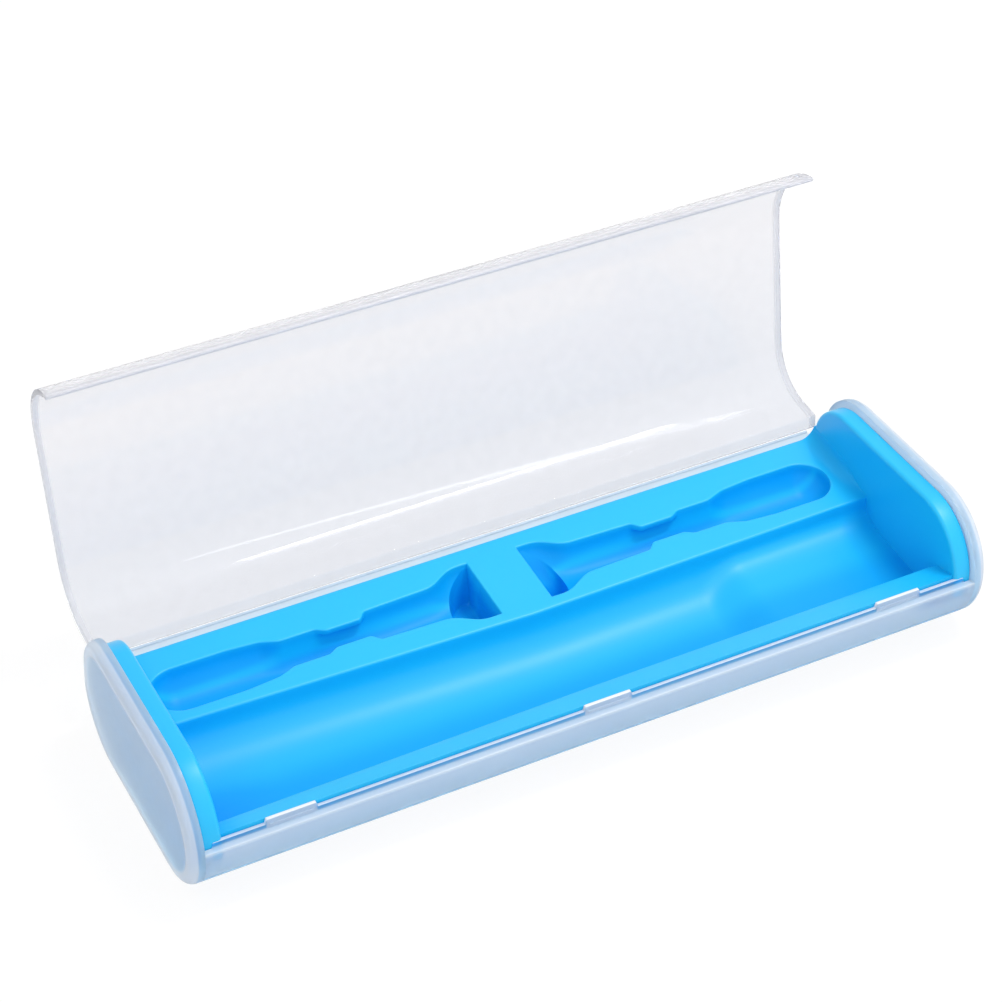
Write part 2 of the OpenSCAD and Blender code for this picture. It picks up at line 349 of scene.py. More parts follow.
@dataclass(frozen=True)
class Section:
    """The case's outline across X: three rounds joined by straight runs."""

    height: float = 39.0
    flat: float = 39.3
    low_r: float = 16.4
    up_r: float = 16.3
    setback: float = 1.3

    @property
    def nose(self) -> Array:
        """Centre of the front round."""
        return np.array([-self.flat / 2, self.height / 2])

    @property
    def low(self) -> Array:
        """Centre of the lower back round."""
        return np.array([self.flat / 2, self.low_r])

    @property
    def up(self) -> Array:
        """Centre of the upper back round."""
        return np.array([self.flat / 2 - self.setback, self.height - self.up_r])

    @property
    def front(self) -> float:
        """Y of the foremost line."""
        return float(self.nose[0] - self.height / 2)

    @property
    def lean(self) -> float:
        """Angle of the back face's outward normal: square to a line that touches both rounds.

        Returns:
            The angle in degrees, counted from +Y towards +Z.
        """
        step = self.up - self.low
        tilt = math.atan2(step[1], step[0]) - math.asin((self.up_r - self.low_r) / np.hypot(*step))
        return math.degrees(tilt) - 90.0

    def outline(self, inset: float, steps: int) -> Array:
        """Closed counter-clockwise loop, from the nose's top round the front, floor and back.

        Args:
            inset: distance inside the outline.
            steps: chords in the front round; the back rounds have half as many each.

        Returns:
            (n, 2) points.
        """
        return np.concatenate([
            arc(self.nose, self.height / 2 - inset, 90, 270, steps),
            arc(self.low, self.low_r - inset, -90, self.lean, steps // 2),
            arc(self.up, self.up_r - inset, self.lean, 90, steps // 2),
        ])

    def rings(self, insets: Array, places: Array) -> Array:
        """Outlines drawn in by insets and set at places along X: (rings, n, 3) points."""
        return set_along(np.stack([self.outline(float(d), RING_STEPS) for d in insets]), places)

    def back_face(self, z: Number, inset: float) -> Number:
        """Y of the back face at height z: a line through the lower round's end, square to its normal.

        Args:
            z: heights.
            inset: distance inside the outline.

        Returns:
            Y at each height.
        """
        a = math.radians(self.lean)
        y, mid = self.low + (self.low_r - inset) * np.array([math.cos(a), math.sin(a)])
        return y - (z - mid) * math.tan(a)

    def back_angle(self, z: float, inset: float) -> float:
        """Angle on the lower back round, in degrees, at which it reaches height z."""
        return math.degrees(math.asin((z - self.low[1]) / (self.low_r - inset)))

    def nose_angle(self, z: float, inset: float) -> float:
        """Angle on the front round, in degrees, at which it reaches height z."""
        return 180.0 - math.degrees(math.asin((z - self.nose[1]) / (self.height / 2 - inset)))

    def nose_y(self, z: Number, inset: float) -> Array:
        """Y of the front round at height z."""
        r = self.height / 2 - inset
        return self.nose[0] - np.sqrt(np.maximum(r * r - (np.asarray(z) - self.nose[1]) ** 2, 0))


@dataclass(frozen=True)
class Layout:
    """Places and clearances that more than one piece takes part in."""

    section: Section = Section()
    length: float = 224.4
    cap_t: float = 3.85
    wall: float = 1.6
    split: float = 19.6
    split_clear: float = 0.3
    end_clear: float = 0.25
    seat_clear: float = 0.25
    lip_t: float = 1.0
    lip_h: float = 1.4
    lap_t: float = 0.3
    snap_out: float = 0.2
    snap_clear: float = 0.25
    hinge_out: float = 2.5
    hinge_end_gap: float = 3.4
    flange_t: float = 1.4
    film_r: float = 0.4

    @property
    def cap_x(self) -> float:
        """X of an end cap's inner face."""
        return self.length / 2 - self.cap_t

    @property
    def fit_x(self) -> float:
        """X at which the lid and the tray end, clear of the end caps."""
        return self.cap_x - self.end_clear

    @property
    def ledge_z(self) -> float:
        """Height of the base's ledge."""
        return self.split - self.split_clear / 2

    @property
    def lid_edge_z(self) -> float:
        """Height of the closed lid's edge."""
        return self.split + self.split_clear / 2

    @property
    def lip_front(self) -> float:
        """Y of the lip's front face."""
        return self.section.front + self.wall - self.lap_t + self.snap_clear + self.snap_out

    @property
    def lip_back(self) -> float:
        """Y of the lip's back face."""
        return self.lip_front + self.lip_t

    @property
    def tray_inset(self) -> float:
        """Distance of the tray inside the outline."""
        return self.wall + self.seat_clear

    @property
    def hinge(self) -> tuple[float, float]:
        """Y and Z of the hinge line."""
        return (self.section.flat / 2 + self.section.low_r + self.hinge_out, self.split)

    @property
    def hinge_x(self) -> float:
        """X at which the hinge's flanges end."""
        return self.cap_x - self.hinge_end_gap


# ---------------------------------------------------------------- shader maths


class Sock:
    """One output socket of a graph, on which arithmetic adds Math nodes."""

    def __init__(self, graph: "Graph", socket: Any) -> None:
        """Keeps the graph and the socket."""
        self.graph = graph
        self.socket = socket

    def _math(self, operation: str, *values: Any) -> "Sock":
        """Adds one Math node with its inputs in order, and gives its output."""
        return self.graph.node("ShaderNodeMath", {"operation": operation}, dict(enumerate(values)))

    def __add__(self, other: Any) -> "Sock":
        """Sum."""
        return self._math("ADD", self, other)

    __radd__ = __add__

    def __sub__(self, other: Any) -> "Sock":
        """Difference."""
        return self._math("SUBTRACT", self, other)

    def __rsub__(self, other: Any) -> "Sock":
        """Difference, from a number."""
        return self._math("SUBTRACT", other, self)

    def __mul__(self, other: Any) -> "Sock":
        """Product."""
        return self._math("MULTIPLY", self, other)

    __rmul__ = __mul__

    def clip(self) -> "Sock":
        """Held between 0 and 1."""
        return self._math("MINIMUM", self._math("MAXIMUM", self, 0.0), 1.0)


class Graph:
    """A material's or a world's node tree, emptied and written anew."""

    def __init__(self, tree: bpy.types.NodeTree) -> None:
        """Empties the tree."""
        self.tree = tree
        tree.nodes.clear()

    def node(self, kind: str, settings: Mapping[str, Any] | None = None,
             inputs: Mapping[Any, Any] | None = None, output: Any = 0) -> Sock:
        """Adds any node.

        Args:
            kind: the node's type name.
            settings: properties that are set first.
            inputs: values or links, by the socket's name or number.
            output: name or number of the output that is returned.

        Returns:
            That output, empty for a node that has none.
        """
        made = self.tree.nodes.new(kind)
        for key, value in (settings or {}).items():
            setattr(made, key, value)
        for key, value in (inputs or {}).items():
            if isinstance(value, Sock):
                self.tree.links.new(value.socket, made.inputs[key])
            else:
                made.inputs[key].default_value = value
        return Sock(self, made.outputs[output] if len(made.outputs) else None)

    def noise(self, scale: float, detail: float = 2.0, stretch: Sequence[float] = (1, 1, 1)) -> Sock:
        """Soft noise of about 0.5 over the piece's own place in metres.

        Args:
            scale: waves a metre.
            detail: number of finer layers.
            stretch: how many times finer it is along X, Y and Z.

        Returns:
            The noise's value.
        """
        place = self.node("ShaderNodeTexCoord", output="Object")
        where = self.node("ShaderNodeMapping", {}, {"Vector": place, "Scale": stretch})
        inputs = {"Vector": where, "Scale": scale, "Detail": detail}
        return self.node("ShaderNodeTexNoise", {}, inputs, "Fac")

    def mark(self, name: str) -> Sock:
        """A value that was written on the mesh, point by point, and 0 where there is none."""
        return self.node("ShaderNodeAttribute", {"attribute_name": name}, output="Fac")

    def mix_colour(self, share: Any, low: Any, high: Any) -> Sock:
        """The colour low where share is 0 and high where it is 1."""
        return self.node("ShaderNodeMix", {"data_type": "RGBA"}, {0: share, 6: low, 7: high}, 2)

    def bump(self, height: Sock, distance: float, strength: float) -> Sock:
        """A normal bent by a height of 0 to 1 over distance metres."""
        inputs = {"Height": height, "Distance": distance, "Strength": strength}
        return self.node("ShaderNodeBump", {}, inputs)

    def seen(self) -> Sock:
        """Is 1 for camera, glossy and transmission rays and 0 for all others."""
        kinds = ("Camera", "Glossy", "Transmission")
        return sum(self.node("ShaderNodeLightPath", output=f"Is {kind} Ray") for kind in kinds).clip()

    def principled(self, **inputs: Any) -> Sock:
        """A Principled shader; the names of its inputs have _ for each space."""
        named = {key.replace("_", " "): value for key, value in inputs.items()}
        return self.node("ShaderNodeBsdfPrincipled", {}, named)

    def blend(self, share: Any, low: Sock, high: Sock) -> Sock:
        """The shader low where share is 0 and high where it is 1."""
        return self.node("ShaderNodeMixShader", {}, {0: share, 1: low, 2: high})

    def finish(self, shader: Sock, kind: str = "ShaderNodeOutputMaterial") -> None:
        """Links the shader to the tree's output."""
        self.node(kind, {}, {"Surface": shader})


def uneven(level: Any, noise: Sock, swing: float) -> Sock:
    """A level that a noise of about 0.5 moves up and down, by swing over its whole range."""
    return level + (noise - 0.5) * swing


def rgb(red: float, green: float, blue: float) -> Colour:
    """A colour for a node, made linear by the sRGB curve.

    Args:
        red: sRGB value of 0 to 255.
        green: the same.
        blue: the same.

    Returns:
        Linear red, green and blue, and 1 for alpha.
    """
    c = np.array([red, green, blue]) / 255.0
    linear = np.where(c <= 0.04045, c / 12.92, ((c + 0.055) / 1.055) ** 2.4)
    return (*(float(v) for v in linear), 1.0)


class Slot(Enum):
    """The record's material slots."""

    SHELL = "frosted_shell"
    TRAY = "blue_tray"
    LID = "clear_lid"


@dataclass(frozen=True)
class Finish:
    """What every finish shares: a name and a way to its material."""

    name: str

    def shade(self, graph: Graph) -> Sock:
        """Writes the nodes and gives the shader."""
        raise NotImplementedError

    def material(self) -> bpy.types.Material:
        """Makes the material.

        Returns:
            A new material whose nodes come from shade.
        """
        made = bpy.data.materials.new(self.name)
        made.use_nodes = True
        graph = Graph(made.node_tree)
        graph.finish(self.shade(graph))
        return made


@dataclass(frozen=True)
class BluePlastic(Finish):
    """Bright blue moulded plastic with a soft sheen, and painted shade that takes the sheen away and darkens
    the blue down in the hollows.
    """

    name: str = "blue moulded plastic"
    colour: Colour = rgb(17, 196, 250)
    # darker blue: the blue's own faint clouds lean towards it, and painted shade in the hollows mixes to it
    deep: Colour = rgb(3, 164, 243)
    clouds: float = 0.12
    roughness: float = 0.38
    sheen: float = 0.72
    ior: float = 1.52

    def shade(self, graph: Graph) -> Sock:
        """Faint clouds and grain; the marks "deep" and "dark" paint shade in the hollows: they take away
        gloss and darken the blue.

        Args:
            graph: the material's graph.

        Returns:
            The shader.
        """
        slow, fine, grain = graph.noise(30.0), graph.noise(260.0, 3.0), graph.noise(2600.0, 1.0)
        normal = graph.bump(grain, 0.00002, 0.5)
        # painted shade: "dark" mixes towards the darker blue and "deep" takes away the coat's sheen, down in
        # the hollows
        share = (self.clouds * slow + graph.mark("painted_shade")).clip()
        return graph.principled(
            Base_Color=graph.mix_colour(share, self.colour, self.deep),
            Roughness=uneven(self.roughness, fine, 0.1), IOR=self.ior, Specular_IOR_Level=0.14,
            Coat_Weight=(self.sheen * (1.0 - graph.mark("deep"))).clip(),
            Coat_Roughness=self.roughness, Coat_IOR=self.ior, Normal=normal, Coat_Normal=normal,
        )


@dataclass(frozen=True)
class FrostedShell(Finish):
    """Milky translucent plastic of the base: a rough clear part and a milky part, mixed."""

    name: str = "frosted shell plastic"
    clear: Colour = rgb(232, 243, 253)
    milk: Colour = rgb(219, 240, 255)
    # white of the painted highlight along top lines, ledge, tabs and rims
    white: Colour = rgb(252, 253, 255)
    # painted blue of the tray seen through the frosted wall
    blue: Colour = rgb(122, 212, 252)
    roughness: float = 0.34
    haze: float = 0.36

    def shade(self, graph: Graph) -> Sock:
        """The mark "haze" makes edges milkier, "pale" paints highlight on them in white, and "tint" paints
        the blue of the tray seen through.

        Args:
            graph: the material's graph.

        Returns:
            The shader.
        """
        slow, fine = graph.noise(45.0), graph.noise(400.0, 3.0)
        both = {"Roughness": uneven(self.roughness, fine, 0.12), "Normal": graph.bump(slow, 0.0006, 0.25)}
        # painted light: "tint" paints the tray's blue seen through, "pale" paints highlight in white
        painted_see_through = graph.mark("painted_see_through")
        see = graph.principled(Base_Color=graph.mix_colour(painted_see_through, self.clear, self.blue),
                               IOR=1.12, Transmission_Weight=1.0, **both)
        tone = graph.mix_colour(painted_see_through, self.milk, self.blue)
        tone = graph.mix_colour(graph.mark("pale"), tone, self.white)
        milky = graph.principled(Base_Color=tone, IOR=1.45, Coat_Weight=0.5, Coat_Roughness=0.12, **both)
        return graph.blend(uneven(self.haze + graph.mark("haze"), slow, 0.1).clip(), see, milky)


@dataclass(frozen=True)
class ClearLid(Finish):
    """Clear sheet plastic of the lid, with slow waves that wobble its reflections."""

    name: str = "clear lid plastic"
    clear: Colour = rgb(248, 247, 249)
    # painted shade's grey for the sheet's lower part
    shade_grey: Colour = rgb(237, 239, 244)
    milk: Colour = rgb(229, 230, 235)
    roughness: float = 0.13
    haze: float = 0.1

    def shade(self, graph: Graph) -> Sock:
        """Waves and fine clouds; the mark "low" paints shade, greying the sheet low down, and "haze" makes it
        milky.

        Args:
            graph: the material's graph.

        Returns:
            The shader.
        """
        fine = graph.noise(300.0, 3.0)
        normal = graph.bump(graph.noise(28.0, 2.0, (1.0, 2.2, 2.2)), 0.0008, 0.5)
        tone = graph.mix_colour(graph.mark("low"), self.clear, self.shade_grey)
        see = graph.principled(Base_Color=tone, Roughness=uneven(self.roughness, fine, 0.06), IOR=1.1,
                               Transmission_Weight=1.0, Coat_Weight=0.3, Coat_Roughness=0.045,
                               Coat_IOR=1.5, Normal=normal)
        milky = graph.principled(Base_Color=self.milk, Roughness=0.4, IOR=1.45, Normal=normal)
        return graph.blend(uneven(self.haze + graph.mark("haze"), fine, 0.05).clip(), see, milky)


@dataclass(frozen=True)
class StudioWhite(Finish):
    """Plain pale floor that the camera sees as pure white where no shadow lies."""

    name: str = "studio floor"
    colour: Colour = rgb(236, 237, 240)
    glow: float = 0.91
    matt: float = 0.12

    def shade(self, graph: Graph) -> Sock:
        """Diffuse floor; the rays that see it get white light and a share of the shading.

        Args:
            graph: the material's graph.

        Returns:
            The shader.
        """
        floor = graph.node("ShaderNodeBsdfDiffuse", {}, {"Color": self.colour})
        faint = graph.node("ShaderNodeBsdfDiffuse", {}, {"Color": (self.matt,) * 3 + (1.0,)})
        white = graph.node("ShaderNodeEmission", {}, {"Color": (1, 1, 1, 1), "Strength": self.glow})
        return graph.blend(graph.seen(), floor, graph.node("ShaderNodeAddShader", {}, {0: white, 1: faint}))


# ---------------------------------------------------------------- pieces


@dataclass
class Piece:
    """A dressed part of the case: its layout, the body it rides on and its finish's slot."""

    layout: Layout = field(default_factory=Layout)
    body: str = "base"
    slot: Slot = Slot.SHELL

    def add(self, name: str, surface: Surface, stuff: bpy.types.Material, *nodes: str) -> None:
        """Makes a mesh of a surface, gives it its material and ties it to the frame.

        Args:
            name: the piece's name.
            surface: its shape.
            stuff: its material.
            nodes: CAD nodes that it stands for.
        """
        made = surface.build(name)
        made.data.materials.append(stuff)
        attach(made, self.body)
        if nodes:
            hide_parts(*nodes)
        log.info("%s: %d points, rides on %s", name, len(made.data.vertices), self.body)


@dataclass
class BaseShell(Piece):
    """Frosted base: wall with ledge, lip and latch tabs, hinge flange, two end caps."""

    # wall: ledge and lip
    ledge_depth: float = 4.6
    ledge_end: float = 0.4
    lip_end_gap: float = 2.4
    lip_least: float = 0.2
    lip_stub: float = 0.02
    edge_r: float = 0.22
    edge_hold: float = 1.3
    foot_r: float = 0.12
    # wall: latch tabs and their snap beads
    tab_pitch: float = 85.5
    tab_w: float = 13.2
    tab_rise: float = 1.4
    tab_soft: float = 0.5
    snap_h: float = 0.7
    snap_up: float = 0.6
    snap_border: float = 0.9
    snap_slope: float = 0.12
    # wall: hinge flange, inner side and ends
    flange_root: float = 0.05
    flange_nip: float = 0.1
    flange_cut: float = 0.15
    inner_drop: float = 0.3
    end_soft: float = 0.4
    into_cap: float = 0.1
    longest: float = 6.0
    # end caps
    cap_edge_r: float = 2.5
    cap_wall: float = 2.0
    cap_rim_w: float = 3.6
    rim_r: float = 0.35
    joint_r: float = 0.12
    recess_r: float = 0.3
    recess_ring: float = 0.8
    panel_step: float = 0.25
    panel_edge: tuple[float, float] = (3.2, 4.2)
    rim_edge: tuple[float, float] = (3.2, 4.4)
    # film hinge
    film_sides: int = 16
    film_end_r: float = 0.15
    # marks of milkiness, painted highlight and painted see-through blue: where they begin and end, and how
    # strong they are
    crest_below: tuple[float, float] = (0.22, 0.1)
    face_above: tuple[float, float] = (0.08, 0.2)
    ledge_band: tuple[float, float] = (-0.5, 0.1)
    foot_band: tuple[float, float] = (2.5, 9.0)
    foot_front: tuple[float, float] = (-30.0, -20.0)
    flange_run: float = 8.0
    face_haze: float = -0.26
    crest_haze: float = 0.25
    tab_haze: float = 0.3
    ledge_haze: float = 0.3
    flange_haze: float = -0.1
    ledge_highlight: float = 0.5
    tab_highlight: float = 0.6
    rim_haze: float = 0.22
    rim_highlight: float = 0.6
    cap_see_through: float = 0.12
    cap_low_see_through: float = 0.3
    cap_low_band: tuple[float, float] = (-12.0, 22.0)
    cap_low_slope: float = 0.5

    @property
    def lip_x(self) -> float:
        """X at which the lip ends."""
        return self.layout.cap_x - self.lip_end_gap

    @property
    def bead_half(self) -> float:
        """Half the length of a snap bead."""
        return self.tab_w / 2 - self.snap_border

    @property
    def tab_x(self) -> tuple[float, float, float]:
        """X of the middle of each latch tab."""
        return (-self.tab_pitch, 0.0, self.tab_pitch)

    def at_tabs(self, x: Array, half: float, soft: float) -> Array:
        """Is 1 at most half away from the middle of a latch tab and 0 elsewhere."""
        return sum(within(x, middle - half, middle + half, soft) for middle in self.tab_x)

    def stations(self) -> Array:
        """Places along X: both ends, and close steps where lip, flange, tabs and beads end.

        Returns:
            Sorted places, none further apart than longest.
        """
        halves = (self.tab_w / 2, self.bead_half)
        turns = np.array([self.lip_x, self.layout.hinge_x] + [m + h for m in self.tab_x for h in halves])
        fine = (np.concatenate([-turns, turns])[:, None] + np.linspace(-0.3, 0.3, 7)).ravel()
        reach = self.layout.cap_x + self.into_cap
        return refine(np.unique(np.round(np.concatenate([[-reach, reach], fine]), 4)), self.longest)

    def wall(self) -> Surface:
        """The wall as one loop carried along X, whose lip, tabs and flange change with X.

        Going counter-clockwise from the lip's back: lip, snap bead, ledge, front round,
        floor, back round, flange, and back along the inner side. The lip's height is
        0 outside its ends, lip_h between them and lip_h + tab_rise at the tabs.

        Returns:
            The closed surface and its marks.
        """
        lay, sec = self.layout, self.layout.section
        x, z0, r, foot = self.stations(), lay.ledge_z, self.edge_r, self.foot_r
        on_lip = within(x, -self.lip_x, self.lip_x, self.end_soft)
        hinged = within(x, -lay.hinge_x, lay.hinge_x, self.end_soft)
        tab = self.at_tabs(x, self.tab_w / 2, self.tab_soft)
        top = z0 + self.lip_stub + on_lip * (lay.lip_h - self.lip_stub) + tab * self.tab_rise
        inner_y = sec.nose_y(z0, lay.wall)
        back = inner_y + (lay.lip_back - inner_y) * on_lip
        front = np.minimum(back - self.lip_least, lay.lip_front)
        out = front - lay.snap_out * self.at_tabs(x, self.bead_half, self.end_soft)
        # the lip's top rounds, smaller where the lip is low
        lip_r = np.minimum(r, (top - z0) * 0.4)
        mid, past = MID_ROUND * lip_r, PAST_ROUND * lip_r
        free = top - lip_r - z0
        bead_low, bead_out, bead_in, bead_high = (
            z0 + np.minimum(self.snap_up + up, free * share) for up, share in
            ((0.0, 0.5), (self.snap_slope, 0.6), (self.snap_h - self.snap_slope, 0.8), (self.snap_h, 0.9)))
        edge_y = float(sec.nose_y(z0 - r, 0.0))
        flange_low, inner_low, half = z0 - lay.flange_t, z0 - self.inner_drop, sec.height / 2
        outer = np.concatenate([
            arc(sec.nose, half, sec.nose_angle(z0 - r, 0.0), 270, 30),
            arc(sec.low, sec.low_r, -90, sec.back_angle(flange_low, 0.0), 24),
        ])
        ledge_low = z0 - self.ledge_depth
        inner = np.concatenate([
            arc(sec.low, sec.low_r - lay.wall, sec.back_angle(inner_low, lay.wall), -90, 24),
            arc(sec.nose, half - lay.wall, 270, sec.nose_angle(ledge_low, lay.wall), 24),
        ])
        wall_y = float(outer[-1, 0]) + self.flange_root
        tip = wall_y + (lay.hinge[0] - wall_y) * hinged
        tip_in = tip - self.flange_nip * hinged
        wall_in = sec.back_face(z0, lay.wall)
        lip_spots = [
            (back, ledge_low + self.ledge_end), (back, inner_low), (back, top - past), (back, top - lip_r),
            (back - mid, top - mid), (back - lip_r, top), (back - past, top), (front + past, top),
            (front + lip_r, top), (front + mid, top - mid), (front, top - lip_r),
            (front, bead_high), (out, bead_in), (out, bead_out), (front, bead_low),
            (front, z0 + foot * on_lip), (front - foot / 4, z0 + foot / 4 * on_lip), (front - foot, z0),
            (edge_y + r * self.edge_hold, z0), (edge_y + r, z0), (edge_y + r * MID_ROUND, z0 - r * MID_ROUND),
        ]
        flange_spots = [
            (wall_y, flange_low), (tip_in, flange_low), (tip, flange_low + self.flange_cut),
            (tip, z0 - self.flange_cut), (tip_in, z0), (wall_in + 0.4, z0), (wall_in, z0 - 0.2),
        ]

        def everywhere(spots: Sequence[tuple[Number, Number]]) -> Array:
            """The spots at every station: (stations, spots, 2) points."""
            return np.stack([np.stack([y + 0 * x, z + 0 * x], -1) for y, z in spots], 1)

        loop = [everywhere(spots) for spots in (lip_spots, outer, flange_spots, inner)]
        made = sweep(np.concatenate(loop, 1), x, np.zeros(len(x)))
        made.marks = self.wall_marks(made.points)
        return made

    def wall_marks(self, points: Array) -> dict[str, Array]:
        """Milkiness, painted highlight and painted see-through blue of the wall: highlight on the top lines,
        ledge and tabs, the tray's blue on the lip's face and foot.

        Each part of the wall is a share of 0 to 1 that its heights and its Y give.

        Args:
            points: the wall's points.

        Returns:
            The marks "haze", "pale" and "tint", one value for each point.
        """
        lay = self.layout
        x, y, z = points.T
        tab = self.at_tabs(x, self.tab_w / 2, self.tab_soft)
        top = lay.ledge_z + lay.lip_h + tab * self.tab_rise
        front = fall(y, lay.lip_back + 0.3, lay.lip_back + 1.0)
        # painted highlight ("pale") along the top line, ledge and tabs; painted blue of the tray seen through
        # ("tint") on the lip's face and foot
        crest = ramp(z, *(top - below for below in self.crest_below)) * front
        lip = ramp(z, *(lay.ledge_z + above for above in self.face_above)) * front
        ledge = within(z, *(lay.ledge_z + above for above in self.ledge_band), 0.2)
        ledge = ledge * fall(y, lay.lip_front - 0.3, lay.lip_front)
        flange = ramp(y, lay.section.flat / 2, lay.section.flat / 2 + self.flange_run)
        foot = within(z, *self.foot_band, 1.0) * fall(y, *self.foot_front)
        face = lip * (1 - tab) * (1 - crest)
        edges = (self.crest_haze + self.tab_haze * tab) * crest + self.ledge_haze * ledge
        return {
            "haze": self.face_haze * face + edges + self.flange_haze * flange,
            "pale": np.clip(crest + self.ledge_highlight * ledge + self.tab_highlight * tab * lip, 0, 1),
            "painted_see_through": np.clip(face + foot, 0, 1),
        }

    def cap(self) -> Surface:
        """One end cap: outline rings that go out over the soft edge and in to the panel.

        Ring by ring from the recess's floor: the outline at the rim's width, out to the
        inner face, across the rim with two small rounds, then a quarter circle of the
        edge radius to the outer face, and a shallow step down to the panel.

        Returns:
            The closed surface at +X and its marks.
        """
        lay, rim_w = self.layout, self.cap_rim_w
        half = lay.length / 2
        floor = half - self.cap_wall
        (rim_out, rim_in), (joint_out, joint_in) = quarter(self.rim_r, 4), quarter(self.joint_r, 4)
        edge_out, edge_in = quarter(self.cap_edge_r, 12)
        panel = np.array([2.9, 3.3, 3.5, 3.8, 4.1, 5.0, 7.0, 10.0])
        foot = self.recess_r
        inset = np.concatenate([
            [rim_w + self.recess_ring, rim_w + foot, rim_w, rim_w], rim_w - rim_in, joint_out, edge_in, panel,
        ])
        place = np.concatenate([
            [floor, floor, floor - foot, lay.cap_x + self.rim_r + 0.05], lay.cap_x + rim_out,
            lay.cap_x + joint_in, half - edge_out, half - self.panel_step * ramp(panel, *self.panel_edge),
        ])
        made = net(lay.section.rings(inset, place), wrap=True, ends=True)
        # painted highlight along the rounded rim; painted blue of the tray seen through on the panel, more
        # low down
        rim = np.where(place < floor + 0.1, 0.0, fall(inset, *self.rim_edge))
        rim = np.repeat(rim, len(made.points) // len(rim))
        low = fall(made.points[:, 1] * self.cap_low_slope + made.points[:, 2], *self.cap_low_band)
        painted_see_through = (1 - rim) * (self.cap_see_through + self.cap_low_see_through * low)
        made.marks = {"haze": self.rim_haze * rim, "pale": self.rim_highlight * rim, "painted_see_through": painted_see_through}
        return made

    def film(self) -> Surface:
        """The film hinge's bead: a thin round rod along the hinge line.

        Returns:
            The closed surface.
        """
        lay, turn = self.layout, 360 / self.film_sides
        loop = arc(lay.hinge, lay.film_r, 0, 360 - turn, self.film_sides - 1)
        return sweep(loop, *rounded_ends(-lay.hinge_x, lay.hinge_x, self.film_end_r, 2))

    def build(self, finish: FrostedShell) -> None:
        """Makes the base's pieces.

        Args:
            finish: the base's finish.
        """
        stuff, cap = finish.material(), self.cap()
        self.add("base_wall", self.wall(), stuff, "base_shell")
        self.add("end_cap_right", cap, stuff)
        self.add("end_cap_left", cap.mirrored(), stuff)
        self.add("hinge_film", self.film(), stuff)


@dataclass
class Lid(Piece):
    """Clear lid: one curved sheet with a rebate along its front edge and a hinge flange."""

    body: str = "lid"
    slot: Slot = Slot.LID
    open_deg: float = 97.0
    lap_h: float = 3.2
    lap_soft: float = 0.1
    film_clear: float = 0.1
    tip_r: float = 0.5
    bend_r: float = 0.5
    edge_r: float = 0.3
    near_end: tuple[float, float] = (1.0, 1.6)
    longest: float = 12.0
    # marks of milkiness and painted shade: where they begin and end, and how strong they are
    edge_band: tuple[float, float] = (1.2, 3.4)
    end_band: tuple[float, float] = (1.9, 1.3)
    painted_shade_band: tuple[float, float] = (26.0, 60.0)
    edge_haze: float = 0.5
    end_share: float = 0.6

    def sides(self) -> Pair:
        """The sheet's two sides across X in the closed pose, point for point.

        The outer side follows the outline from the front edge over the top to the hinge
        flange. The inner side runs inside it by the wall, less the rebate near the front
        edge. Both close to rounded tips: at a distance s < r from the tip, half of the
        thickness is h - r + sqrt(r^2 - (r - s)^2).

        Returns:
            The outer and the inner side.
        """
        lay, sec = self.layout, self.layout.section
        z0, t, lap = lay.lid_edge_z, lay.wall, lay.wall - lay.lap_t
        draw, rise = quarter(self.tip_r, 6)
        tip = [np.stack([sec.nose_y(z0 + rise, depth) + side * draw, z0 + rise], -1)
               for depth, side in ((0.0, 1), (lap, -1))]
        # front round, with the step of the rebate
        lap_top, close_by = z0 + self.lap_h, np.array([0.08, 0.12, 0.5, 1.2])
        z_step = lap_top + np.concatenate([-close_by[::-1], [0.0], close_by])
        radius, crown = sec.height / 2, np.linspace(160, 90, 30)
        angle = np.append(180 - np.degrees(np.arcsin((z_step - sec.nose[1]) / radius)), crown)
        step = ramp(z_step, lap_top - self.lap_soft, lap_top + self.lap_soft)
        depth = np.append(mixed((lap, t), step), np.full(len(crown), t))
        way = np.stack([np.cos(np.radians(angle)), np.sin(np.radians(angle))], -1)
        front = [sec.nose + radius * way, sec.nose + (radius - depth[:, None]) * way]
        back = [arc(sec.up, sec.up_r - inset, 90, sec.lean, 28) for inset in (0.0, t)]
        # hinge flange: its bend, and its end in front of the film hinge
        high = z0 + lay.flange_t
        bend = [np.stack([y + quarter(r, 6)[1], z + quarter(r, 6)[0]], -1) for y, z, r in
                ((sec.back_face(high, 0.0), high, self.bend_r), (sec.back_face(z0, t), z0, self.edge_r))]
        close, short = (side[::-1] for side in quarter(self.edge_r, 6))
        end = lay.hinge[0] - lay.film_r - self.film_clear - short
        lips = [np.stack([end, high - close], -1), np.stack([end, z0 + close], -1)]
        outer, inner = (np.concatenate([tip[k], front[k], back[k], bend[k], lips[k]]) for k in (0, 1))
        return outer, inner

    def sheet(self) -> Surface:
        """The sheet's two sides carried along X as a ribbon, marked, and then turned open.

        Returns:
            The closed surface in the open pose, and its marks.
        """
        lay = self.layout
        x, inset = rounded_ends(-lay.fit_x, lay.fit_x, self.edge_r)
        middle = len(x) // 2
        near = x[middle] - np.array(self.near_end)
        spots = refine(np.array([x[middle - 1], *-near, *near[::-1], x[middle]]), self.longest)[1:-1]
        x, inset = np.insert(x, middle, spots), np.insert(inset, middle, 0 * spots)
        shut = ribbon(*self.sides(), x, inset)
        made = shut.turned(-self.open_deg, lay.hinge)
        x, y, z = shut.points.T
        edge = fall(z, *(lay.lid_edge_z + above for above in self.edge_band)) * (y < 0)
        end = ramp(np.abs(x), *(lay.fit_x - inside for inside in self.end_band))
        # painted shade: the open sheet greys towards its lower part
        made.marks = {"low": fall(made.points[:, 2], *self.painted_shade_band),
                      "haze": self.edge_haze * np.maximum(edge, self.end_share * end)}
        return made

    def build(self, finish: ClearLid) -> None:
        """Makes the lid."""
        self.add("lid_sheet", self.sheet(), finish.material(), "lid")


